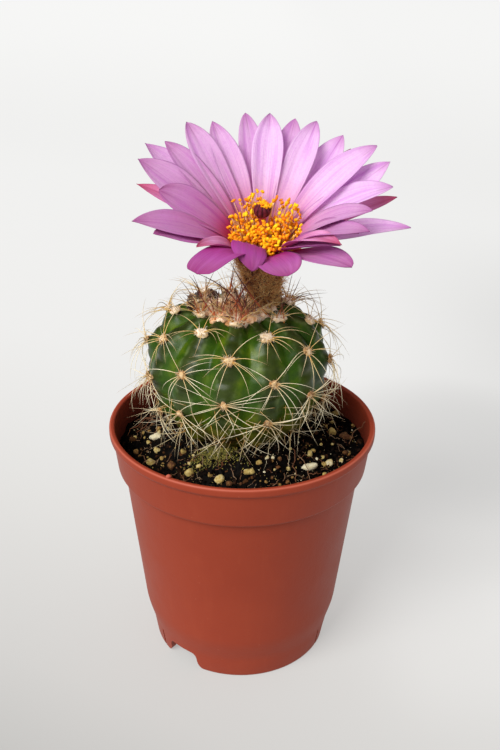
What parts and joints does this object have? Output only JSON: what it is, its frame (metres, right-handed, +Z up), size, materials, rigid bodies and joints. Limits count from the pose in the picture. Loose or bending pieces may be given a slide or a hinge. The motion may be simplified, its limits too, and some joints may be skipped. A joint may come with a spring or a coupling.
{
  "type": "potted round cactus",
  "caption": "Ribbed globular cactus with curved spines and an open many-petalled flower, standing in soil in a tapered plastic nursery pot.",
  "frame": {"origin": "on the ground under the middle of the whole object, pot and flower together", "axes": "+Z up, front towards -Y, where the flower leans; the pot's own axis stands at x -0.9 mm, y +0.2 mm"},
  "size_m": [0.0668, 0.0654, 0.1334],
  "materials": {
    "pot_plastic": "satin",
    "soil": "matte",
    "stem": "satin",
    "flower_tube": "matte",
    "petals": "satin",
    "stamens": "matte",
    "pistil": "matte"
  },
  "bodies": {
    "root": {"pot": "pot_plastic", "soil": "soil", "cactus_stem": "stem", "flower_tube": "flower_tube", "flower_petals": "petals", "stamens": "stamens", "pistil": "pistil"}
  },
  "joints": []
}
